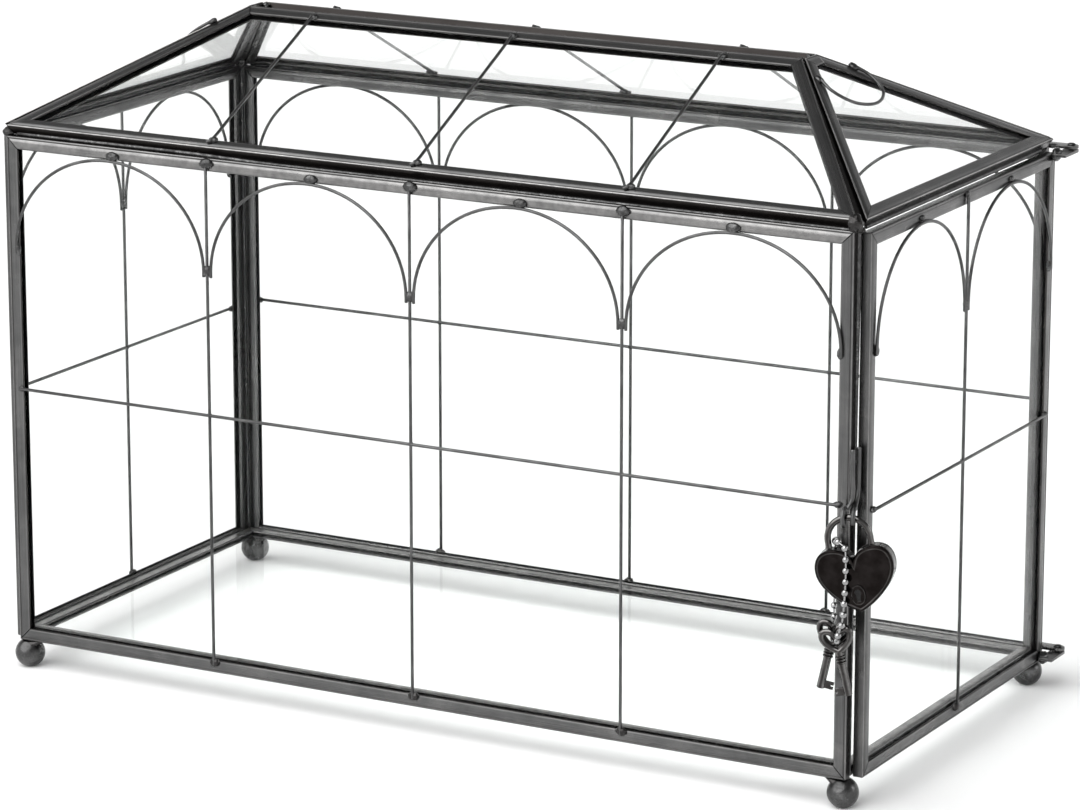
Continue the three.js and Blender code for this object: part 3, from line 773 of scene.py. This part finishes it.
def hip_seam(slope, facet):
    """The solder that fills the bottom of the groove along a hip, wider towards the eave."""
    edges = []
    for panel, other in ((slope, facet), (facet, slope)):
        side = 1 if (other.origin - panel.origin).dot(panel.across) > 0 else -1
        edge = [corner for corner in panel.outline if corner.x * side > 0]
        edge.sort(key=lambda corner: corner.y)
        edges.append([panel.at(corner.x, corner.y) for corner in edge])
    outward = (slope.out + facet.out).normalized()
    foot, head = ((a + b) / 2 for a, b in zip(*edges))
    along = (head - foot).normalized()
    side = outward.cross(along)
    foot_half, head_half = ((a - b).length / 2 for a, b in zip(*edges))
    steps = 60
    rings = []
    skin = Skin()
    for k in range(steps + 1):
        share = k / steps
        centre = foot.lerp(head, share) + 1.5 * (1 - 2 * share) * along - 2.3 * outward
        swell = 1 + 0.14 * noise.noise(centre * 0.22)
        wide = (foot_half * (1 - share) + head_half * share + 0.35) * swell
        deep = 1.1 * swell
        points = [centre + wide * math.cos(t) * side + deep * math.sin(t) * outward for t in circle(14)]
        # Darkened as patina and as painted shade in the groove
        rings.append(skin.ring(points, share * 90, -0.75))
    skin.loft(rings)
    piece(f"{facet.name}_{slope.name.split('_')[1]}_seam", skin, "case", SOLDER)


def seam(skin, start, end, radius, drop=lambda share: 0.0):
    """A run of solder between two points, which may sink on its way."""
    shares = [k / 48 for k in range(49)]
    wire(skin, [start.lerp(end, share) - drop(share) * UP for share in shares], radius)


def wall_seams():
    """Solder along the fixed walls' upright corners and under the eaves.

    The front's eave seam sinks towards its right, and the run up the front's right post swells
    towards its top, where it closes the slit beside the door to the eye without touching the door.
    """
    front, back, left, door = (node_box(f"{name}_frame") for name in ("front", "back", "left", "door"))
    bottom, top = front[0].z + 0.6, front[1].z - 0.6
    eave = front[1].z + 0.5
    inner = CHANNEL_DEPTH - 0.7
    skin = Skin()
    for y in (front[0].y + inner, back[1].y - inner):
        x = left[0].x + inner
        seam(skin, Vector((x, y, bottom)), Vector((x, y, top)), SEAM_RADIUS["corner"])

    def under_eave(start, end, *how):
        seam(skin, Vector((*start, eave)), Vector((*end, eave)), *how)

    y = front[0].y + 2.6
    under_eave((front[0].x + 3, y), (front[1].x - 2, y), SEAM_RADIUS["eave"],
               lambda share: 0.75 * min(1, max(0, share - 0.22) / 0.1))
    y = back[1].y - 2.2
    under_eave((back[0].x + 3, y), (back[1].x - 5, y), SEAM_RADIUS["eave"])
    x = left[0].x + 2.2
    under_eave((x, left[0].y + 3), (x, left[1].y - 3), SEAM_RADIUS["eave"])
    x = door[0].x + 1
    under_eave((x, door[0].y + 1), (x, door[1].y - 7), SEAM_RADIUS["door_eave"])

    post = Vector((front[1].x - 0.25, front[1].y + 0.3, bottom))
    height = top - bottom
    profile = [(0.2, 0), (0.3, 0.4), (0.42, 0.35 * height), (0.7, 0.7 * height)]
    profile += [(1.02, 0.88 * height), (1.05, height - 0.4), (0.6, height)]
    turned(skin, post, UP, profile, 16)
    piece("wall_seams", skin, "case", SOLDER)


def corner_solder():
    """The lumps that bridge the walls and the roof at each corner, and those at the ridge's ends."""
    low, high = node_box("front_frame")
    back = node_box("back_frame")[1].y
    skin = Skin()
    right = Vector((high.x, low.y, high.z))
    blob(skin, right + Vector((0.1, 0.7, 2.7)), AXES, (2.6, 2.5, 2.9), 0.3, 14, 20, -0.55)
    blob(skin, right + Vector((0.9, 2.9, 0.2)), AXES, (1.7, 1.3, 1.1), 0.2, 12, 16, -0.55)
    left = node_box("left_frame")[0].x
    for x, y, inward in ((left, low.y, (1, 1)), (left, back, (1, -1)), (high.x + 1.5, back, (-1, -1))):
        corner, step = Vector((x, y, high.z)), Vector((*inward, 0))
        blob(skin, corner + 3 * step + 0.8 * UP, AXES, (2.3, 2.3, 1.9), 0.2, 12, 16, -0.4)
        blob(skin, corner + 4.7 * step + 2.6 * UP, AXES, (2.4, 2.4, 2.1), 0.15, 12, 16, -0.4)
    top = node_box("roof_front_frame")[1].z
    for x in (node_box("roof_left_frame")[1].x, node_box("roof_right_frame")[0].x):
        for y in (node_box("roof_front_frame")[1].y, node_box("roof_back_frame")[0].y):
            blob(skin, Vector((x, y, top - 0.9)), AXES, (1.3, 1.2, 0.9), 0.2)
    piece("corner_solder", skin, "case", SOLDER)


# ---- feet

def foot(node):
    """A ball foot on its worn flat, with the solder that joins it to the corner above."""
    low, high = node_box(node)
    middle = (low + high) / 2
    radius = (high.x - low.x) / 2
    flat = radius / 3
    centre = math.sqrt(radius ** 2 - flat ** 2)
    profile = [(flat * 0.5, 0), (flat * 0.92, 0.02)]
    first = math.asin(-centre / radius)
    last = math.asin((high.z - centre) / radius)
    for k in range(17):
        rise = first + (last - first) * k / 16
        profile.append((radius * math.cos(rise), max(centre + radius * math.sin(rise), 0.05)))
    skin = Skin()
    turned(skin, Vector((middle.x, middle.y, 0)), UP, profile, 40)
    piece(f"{node}_ball", skin, "case", BALL, [node])
    web = Skin()
    way = -1 if middle.x > 0 else 1      # along the long rail, so clear of the door
    rings = []
    for level, along, across, shift in FOOT_WEB:
        centre = Vector((middle.x + way * shift, middle.y, high.z + level))
        points = []
        for turn in circle(32):
            spoke = Vector((along * math.cos(turn), across * math.sin(turn), 0))
            points.append(centre + (1 + 0.05 * noise.noise(0.4 * (centre + spoke))) * spoke)
        rings.append(web.ring(points, level, -0.5))
    web.loft(rings)
    piece(f"{node}_solder", web, "case", BALL)


# ---- hinges and hasp

def lug_outline(reach):
    half = HINGE_LUG["half_width"]
    outline = [Vector((-reach, -half)), Vector((0, -half))]
    for k in range(1, 16):
        turn = math.pi * (k / 16 - 0.5)
        outline.append(Vector((half * math.cos(turn), half * math.sin(turn))))
    outline += [Vector((0, half)), Vector((-reach, half))]
    return outline


def hinge(name):
    """Two flat lugs with round ends, one riveted over the other."""
    pin_low, pin_high = node_box(f"{name}_hinge_pin")
    pin = (pin_low + pin_high) / 2
    thickness = HINGE_LUG["thickness"]
    steps = [(0.3, 0, 0), (0.14, 0.02, 0.8), (0, 0.16, 0.8), (0, 0.3, 0)]
    steps += [(inward, thickness - height, wear) for inward, height, wear in reversed(steps)]
    for part, body, turn in (("body", "case", 0), ("door", "door", math.pi / 2)):
        node = f"{name}_{part}_lug"
        base = node_box(node)[0].z
        spin = Matrix.Rotation(turn, 3, "Z")
        skin = Skin()
        plate(skin, lug_outline(HINGE_LUG[f"{part}_reach"]),
              lambda x, y, h: Vector((pin.x, pin.y, base)) + spin @ Vector((x, y, h)), steps)
        piece(f"{node}_plate", skin, body, CHANNEL, [node])
        solder = Skin()
        root = Vector((pin.x, pin.y, base + thickness / 2))
        root += spin @ Vector((2.6 - HINGE_LUG[f"{part}_reach"], 1.9 if part == "door" else -1.7, 0))
        halves = (1.7, 2.7, 2.2) if part == "door" else (2.4, 1.9, 0.85)
        blob(solder, root, AXES, halves, 0.24, 12, 16)
        piece(f"{node}_solder", solder, body, SOLDER)
    height = pin_high.z - pin_low.z
    profile = [(0.3, 0), (0.9, 0.08), (1.3, 0.28), (1.5, 0.55), (1.45, 0.62), (0.8, 0.64)]
    profile += [(radius, height - level) for radius, level in reversed(profile)]
    rivet = Skin()
    turned(rivet, Vector((pin.x, pin.y, pin_low.z)), UP, profile, 24)
    piece(f"{name}_hinge_rivet", rivet, "case", BALL, [f"{name}_hinge_pin"])


# ---- padlock and hasp

def joint(name):
    return next(j for j in frame["joints"] if j["name"] == name)


class Hanging:
    """The padlock's own axes: across it, towards the box, and up, plumb or along the tilted lock."""

    def __init__(self):
        swing = joint("padlock_swing")
        slide = Vector(joint("shackle_release")["axis"])
        self.origin = Vector(swing["pos_m"]) / MM - SHACKLE_BOW * UP
        self.across = -Vector(swing["axis"]).normalized()
        self.back = UP.cross(self.across)
        self.tilted_up = -slide.normalized()
        self.tilted_across = self.back.cross(self.tilted_up)

    def plumb(self, x, y, z):
        return self.origin + x * self.across + y * self.back + z * UP

    def tilted(self, x, y, z):
        return self.origin + x * self.tilted_across + y * self.back + z * self.tilted_up


HANG = Hanging()


def bezier(a, b, c, d, steps):
    points = []
    for k in range(steps):
        t = k / steps
        s = 1 - t
        points.append(s ** 3 * a + 3 * s * s * t * b + 3 * s * t * t * c + t ** 3 * d)
    return points


def heart_outline(half_width, height, lobe, steps=14):
    """A heart with its point down, its lobes reaching a little above the origin."""
    tip, waist, cleft = lobe - height, lobe - 0.31 * height, lobe - 0.2 * height
    flank, shoulder, fold = lobe - 0.62 * height, lobe - 0.1 * height, lobe - 0.08 * height
    right = [
        [(0, tip), (0.3, tip + 0.07 * height), (1, flank), (1, waist)],
        [(1, waist), (1, shoulder), (0.8, lobe), (0.54, lobe)],
        [(0.54, lobe), (0.28, lobe), (0.06, fold), (0, cleft)],
    ]
    left = [[(-x, y) for x, y in reversed(curve)] for curve in reversed(right)]
    points = []
    for curve in right + left:
        points += bezier(*(Vector((x * half_width, y)) for x, y in curve), steps)
    return points


def shackle():
    bow = SHACKLE_BOW
    turns = [math.pi * (1 - k / 24) for k in range(25)]
    path = [(-bow, -SHACKLE_HEEL), (-bow, -SHACKLE_HEEL / 2)]
    path += [(bow * math.cos(t), bow * math.sin(t)) for t in turns]
    path += [(bow, -SHACKLE_TOE / 2), (bow, -SHACKLE_TOE)]
    curve = smooth_curve([HANG.tilted(x, 0, z) for x, z in path], 90)
    skin = Skin()
    wire(skin, curve, SHACKLE_WIRE, 20, lightened=-HANG.back)
    piece("shackle_bow", skin, "shackle", POLISHED, ["padlock_shackle"])


def heart_body():
    """Two pressed faces with a raised rim each, on a band that stands in a little."""
    half = HEART_THICKNESS / 2
    # The rim's crest and the band's edges are lightened as painted highlight
    face = [(1.5, -0.24, 0), (1.25, -0.2, 0), (1.05, -0.03, 0.5), (0.9, 0, 0.7), (0.7, 0, 0.1)]
    face += [(0.3, -0.1, 0), (0.1, -0.3, 0), (0, -0.65, 0)]
    band = [(0, -1.15, 0.4), (0.22, -1.25, 0), (0.22, -1.4, 0), (0.04, -1.5, 0.3)]
    front = [(inward, -half - height, wear) for inward, height, wear in face + band]
    steps = front + [(inward, -depth, wear) for inward, depth, wear in reversed(front)]
    skin = Skin()
    plate(skin, heart_outline(**HEART), lambda x, z, y: HANG.tilted(x + HEART_SHIFT, y, z), steps)
    piece("heart_shell", skin, "lock_body", NICKEL, ["padlock_body"], 30)


def keyhole():
    """A raised oval plate with a keyhole through it."""
    front = -HEART_THICKNESS / 2
    turns = circle(48)

    def oval(across, tall):
        return [Vector((across * math.cos(t), tall * math.sin(t))) for t in turns]

    def hole(grow=0.0):
        """A round eye over a slot, drawn at the same turns as the oval."""
        loop = []
        reach = 1.05 + grow
        for t in turns:
            eye = Vector((reach * math.cos(t), reach * math.sin(t) + 0.8))
            in_slot = math.sin(t) < -0.62
            slot = Vector((max(-1, min(1, 1.6 * math.cos(t))) * (0.55 + grow), -2.1 - grow))
            loop.append(slot if in_slot else eye)
        return loop

    def at(spot, y):
        return HANG.tilted(spot.x + HEART_SHIFT, y, spot.y - KEYHOLE_BELOW)

    # The plate's rim and the hole's edge are lightened as painted highlight
    levels = [
        (oval(2.4, 3.4), 0.3, 0), (oval(2.4, 3.4), -0.15, 0), (oval(2.3, 3.3), -0.36, 0.7),
        (oval(2.05, 3.05), -0.42, 0.3), (oval(1.85, 2.85), -0.3, 0), (hole(0.14), -0.3, 0),
        (hole(), -0.22, 0.5), (hole(), 0.35, 0),
    ]
    skin = Skin()
    rings = []
    for loop, depth, wear in levels:
        y = front + depth
        rings.append(skin.ring([at(p, y) for p in loop], y, wear))
    skin.loft(rings, caps=False)
    piece("keyhole_plate", skin, "lock_body", NICKEL, sharp=30)
    shadow = Skin()
    shadow.loft([shadow.ring([at(p, y) for p in hole(0.04)], y) for y in (front - 0.04, front + 0.2)])
    piece("keyway", shadow, "lock_body", SHADOW)


def ball_chain():
    """Balls on short links, closed by a clasp beside the shackle's leg."""
    route = [HANG.plumb(*p) for p in CHAIN_PATH]
    length = 0.0
    fine = smooth_curve(route, 400, closed=True)
    for i, point in enumerate(fine):
        length += (point - fine[i - 1]).length
    count = round(length / BALL_PITCH)
    centres = smooth_curve(route, count, closed=True)
    balls, links = Skin(), Skin()
    for centre in centres:
        blob(balls, centre, AXES, (BALL_RADIUS,) * 3, 0.0, 14, 20)
    wire(links, smooth_curve(route, 6 * count, closed=True), LINK_RADIUS, 8, closed=True)
    piece("chain_balls", balls, "chain", CHAIN, ["key_chain"])
    piece("chain_links", links, "chain", CHAIN)
    clasp = Skin()
    start, end = centres[0], centres[1]
    way = (end - start).normalized()
    profile = [(0.7, -1.9), (1.25, -1.5), (1.42, -0.9), (1.42, 0.9), (1.25, 1.5), (0.7, 1.9)]
    turned(clasp, (start + end) / 2, way, profile, 20)
    piece("chain_clasp", clasp, "chain", CHAIN)


def key(node, body, place, swing, bit_side):
    """A skeleton key with a heart bow, a ringed neck, a hollow stem and a stepped bit."""
    turn = math.radians(swing)
    across = math.cos(turn) * HANG.across - math.sin(turn) * UP
    up = math.sin(turn) * HANG.across + math.cos(turn) * UP
    origin = HANG.plumb(*place)

    def at(x, y, z):
        return origin + x * across + y * HANG.back + z * up

    skin = Skin()
    bow = inset(heart_outline(**KEY_BOW, steps=10), KEY_BOW_WIRE)
    wire(skin, [at(p.x, 0, p.y) for p in bow], KEY_BOW_WIRE, 18, closed=True, lightened=-HANG.back)
    rim = inset(heart_outline(**KEY_BOW, steps=10), 1.75)
    wire(skin, [at(p.x, -0.35, p.y) for p in rim], 0.42, 8, closed=True)
    neck = KEY_BOW["lobe"] - KEY_BOW["height"] + 1.2
    tip = KEY_BOW["lobe"] - KEY_LENGTH
    profile = [(0.5, tip + 2.6), (0.72, tip + 2.4), (0.72, tip + 0.12), (0.84, tip)]
    profile += [(KEY_STEM - 0.12, tip), (KEY_STEM, tip + 0.14), (KEY_STEM, neck - 4.3)]
    for ring in (4.0, 3.0, 2.0):
        profile += [(KEY_STEM, neck - ring - 0.1), (KEY_STEM + 0.38, neck - ring + 0.15)]
        profile += [(KEY_STEM + 0.38, neck - ring + 0.45), (KEY_STEM - 0.05, neck - ring + 0.7)]
    profile += [(KEY_STEM - 0.1, neck), (0.6, neck + 0.6)]
    turned(skin, origin, up, profile, 28, lightened=-HANG.back)
    low = tip + KEY_BIT["above"]
    high, reach = low + KEY_BIT["height"], KEY_BIT["reach"]
    notch = reach - 0.9
    bit = [(0.4, low), (reach, low), (reach, low + 0.8), (notch, low + 0.8),
           (notch, low + 1.5), (reach, low + 1.5), (reach, high), (0.4, high)]
    outline = [Vector((bit_side * x, z)) for x, z in bit]
    if bit_side < 0:
        outline.reverse()
    steps = [(0.1, -0.6, 0.2), (0, -0.5, 0.2), (0, 0.5, 0.2), (0.1, 0.6, 0.2)]
    plate(skin, outline, lambda x, z, y: at(x, y, z), steps)
    piece(f"{node}_skeleton", skin, body, POLISHED, [node])


def staple_and_hook():
    """The front post's staple with its closed eye, and the door's open hook beside it."""
    top = Vector(joint("padlock_swing")["pos_m"]) / MM
    out = -HANG.back
    radius, ring, half_gap = 0.75, 2.85, 1.65

    def around(side, angle):
        turn = math.radians(angle)
        return top + side * half_gap * HANG.across + ring * (math.cos(turn) * out + math.sin(turn) * UP)

    high = node_box("front_staple")[1]
    x, y = high.x - radius, node_box("front_frame")[0].y - radius - 0.3
    leg = [Vector((x, y, z)) for z in (high.z, high.z - 8, high.z - 16)]
    skin = Skin()
    wire(skin, smooth_curve(leg + [around(-1, 160)], 40), radius, 12)
    wire(skin, [around(-1, 160 - 15 * k) for k in range(24)], radius, 12, closed=True)
    piece("staple_wire", skin, "case", WIRE, ["front_staple"])

    high = node_box("door_hook")[1]
    x, y = node_box("door_frame")[0].x + 1.5, high.y - radius
    leg = [Vector((x, y, high.z)), Vector((x, y, high.z - 8)), Vector((x, y - 0.3, high.z - 15))]
    leg.append(Vector((x + 0.7, y - 3.2, high.z - 17.8)))
    hook = Skin()
    crook = [around(1, angle) for angle in (105, 70, 35, 0, -35)]
    wire(hook, smooth_curve(leg + crook, 70), radius, 12)
    piece("hook_wire", hook, "door", WIRE, ["door_hook"])


# ---- stage

def stage_floor():
    shader = Shader("pale_floor", Roughness=0.7)
    tone = shader.noise(3, detail=3)
    shader.set("Base Color", shader.colours(tone, (0.3, grey(0.86)), (0.7, grey(0.88))))
    mesh = bpy.data.meshes.new("floor")
    reach = 9.0
    corners = [(-reach, -reach, 0), (reach, -reach, 0), (reach, reach, 0), (-reach, reach, 0)]
    mesh.from_pydata(corners, [], [(0, 1, 2, 3)])
    mesh.materials.append(shader.material)
    floor = placed("stage_floor", mesh)


def sky():
    """Soft light from all round: white near the horizon, darker overhead."""
    world = bpy.data.worlds.new("studio")
    bpy.context.scene.world = world
    world.use_nodes = True
    nodes, links = world.node_tree.nodes, world.node_tree.links
    coordinates = nodes.new("ShaderNodeTexCoord")
    split = nodes.new("ShaderNodeSeparateXYZ")
    ramp = nodes.new("ShaderNodeValToRGB")
    set_stops(ramp, [(0.15, grey(1.0)), (0.5, grey(0.28)), (0.95, grey(0.14))])
    links.new(coordinates.outputs["Generated"], split.inputs["Vector"])
    links.new(split.outputs["Z"], ramp.inputs["Fac"])
    links.new(ramp.outputs["Color"], nodes["Background"].inputs["Color"])
    nodes["Background"].inputs["Strength"].default_value = 1.15


def lamp(kind, name, place, **settings):
    """Adds a lamp that faces the box."""
    data = bpy.data.lights.new(name, kind)
    for key, value in settings.items():
        setattr(data, key, value)
    made = placed(name, data)
    made.location = place
    made.rotation_euler = (Vector((0, 0, 0.1)) - Vector(place)).to_track_quat("-Z", "Y").to_euler()


def camera():
    """A long lens a little above the box, off its front right corner."""
    data = bpy.data.cameras.new("camera")
    data.sensor_width = 36
    data.lens = 161.94
    made = placed("camera", data)
    made.location = (0.78722, -1.42666, 0.51591)
    made.rotation_euler = (math.radians(75.66), 0, math.radians(28.83))
    bpy.context.scene.camera = made


# ---- the whole box

floor_low, floor_high = node_box("floor_frame")
wall_top = node_box("front_frame")[1].z
BOX_MIDDLE = (floor_low + floor_high) / 2 + (wall_top - floor_low.z) / 2 * UP

camera()
stage_floor()
sky()
lamp("SUN", "broad_sun", (-0.5, -1.1, 1.5), energy=4.0, angle=math.radians(80))  # wide, for faint shadows
lamp("AREA", "side_light", (2.1, 0.9, 0.9), energy=9, size=0.9)
bpy.context.scene.view_settings.view_transform = "Standard"

for wall in ("front", "back", "left", "door"):
    rider = "door" if wall == "door" else "case"
    tracery(glazed(wall, rider), rider)
glazed("floor", "case")

slope, facet = Panel("roof_front"), Panel("roof_right")
HIP_LEAN = math.tan(slope.out.angle(facet.out) / 2)
slopes = [glazed(f"roof_{side}", "case", HIP_LEAN) for side in ("front", "back")]
facets = [glazed(f"roof_{side}", "case", HIP_LEAN) for side in ("left", "right")]
for slope in slopes:
    roof_bars(slope)
    for facet in facets:
        hip_seam(slope, facet)
for facet in facets:
    facet_loop(facet)
wall_seams()
corner_solder()

for face in ("front", "back"):
    for side in ("left", "right"):
        foot(f"foot_{face}_{side}")
hinge("upper")
hinge("lower")

staple_and_hook()
shackle()
heart_body()
keyhole()
ball_chain()
key("key_1", "first_key", (-3.45, -2.6, -30.9), -13, -1)
key("key_2", "second_key", (-4.2, 0, -29.8), 12, 1)
